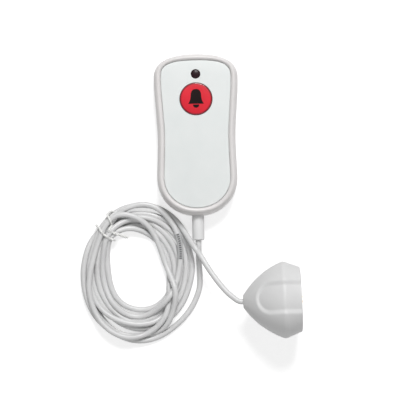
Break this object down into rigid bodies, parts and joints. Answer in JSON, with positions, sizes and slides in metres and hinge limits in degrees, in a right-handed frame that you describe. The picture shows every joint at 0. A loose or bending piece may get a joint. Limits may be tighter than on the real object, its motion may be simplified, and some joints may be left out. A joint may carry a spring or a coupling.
{
  "type": "bed call button",
  "caption": "Hand-held bed call button with a lit push button and lamp, coiled lead and round pull-off plug.",
  "frame": {"origin": "centre of the handset's flat back, at the surface it lies on", "axes": "+Z out of the handset's face, +Y along the handset towards its lamp end, +X to the right as the face is read"},
  "size_m": [0.1429, 0.188, 0.0472],
  "materials": {
    "casing": "white ABS, fine satin",
    "panel": "pale grey satin polyester face",
    "button": "translucent red, smooth",
    "symbol": "black, smooth",
    "lamp": "dark tinted lens",
    "board": "green solder mask",
    "component": "black moulded",
    "light": "cream moulded",
    "contact": "gold-plated",
    "steel": "zinc-plated",
    "sleeve": "white flexible PVC",
    "cord": "white satin PVC jacket",
    "plug": "light grey-white moulded, satin",
    "tie": "white coated wire",
    "wire_brown": "brown insulation",
    "wire_white": "white insulation",
    "wire_green": "green insulation",
    "wire_yellow": "yellow insulation"
  },
  "bodies": {
    "casing": {"back_cover": "casing", "front_cover": "casing", "face_plate": "panel", "lamp_lens": "lamp", "lamp_led": "light", "circuit_board": "board", "switch_body": "component", "button_light_left": "light", "button_light_right": "light", "case_screw_1": "steel", "case_screw_2": "steel", "case_screw_3": "steel", "case_screw_4": "steel", "board_screw_1": "steel", "board_screw_2": "steel", "cord_clamp": "component", "clamp_screw_1": "steel", "clamp_screw_2": "steel", "cord_sleeve": "sleeve", "cord_end": "cord", "board_socket": "light", "wire_plug": "component", "wire_brown": "wire_brown", "wire_white": "wire_white", "wire_green": "wire_green", "wire_yellow": "wire_yellow", "plug_shell": "plug", "plug_face": "plug", "contact_carrier": "component", "plug_magnet_1": "steel", "plug_magnet_2": "steel", "plug_board": "board", "plug_cord_end": "cord", "plug_crimp": "steel", "handset_lead": "cord", "plug_lead": "cord", "cord_coil": "cord", "coil_tie": "tie"},
    "button": {"button_cap": "button", "bell_symbol": "symbol", "bell_clapper": "symbol", "switch_plunger": "component"},
    "contact_1": {"contact_pin_1": "contact"},
    "contact_2": {"contact_pin_2": "contact"},
    "contact_3": {"contact_pin_3": "contact"},
    "contact_4": {"contact_pin_4": "contact"}
  },
  "joints": [
    {"name": "button_press", "type": "slide", "parent": "casing", "child": "button", "axis": [0, 0, -1], "range_m": [0, 0.0008], "stiffness_N_per_m": 1500, "springref_m": -0.0004},
    {"name": "contact_1_press", "type": "slide", "parent": "casing", "child": "contact_1", "axis": [-0.999, -0.0262, -0.0349], "range_m": [0, 0.0007], "stiffness_N_per_m": 600, "springref_m": -0.0004},
    {"name": "contact_2_press", "type": "slide", "parent": "casing", "child": "contact_2", "axis": [-0.999, -0.0262, -0.0349], "range_m": [0, 0.0007], "stiffness_N_per_m": 600, "springref_m": -0.0004},
    {"name": "contact_3_press", "type": "slide", "parent": "casing", "child": "contact_3", "axis": [-0.999, -0.0262, -0.0349], "range_m": [0, 0.0007], "stiffness_N_per_m": 600, "springref_m": -0.0004},
    {"name": "contact_4_press", "type": "slide", "parent": "casing", "child": "contact_4", "axis": [-0.999, -0.0262, -0.0349], "range_m": [0, 0.0007], "stiffness_N_per_m": 600, "springref_m": -0.0004}
  ]
}
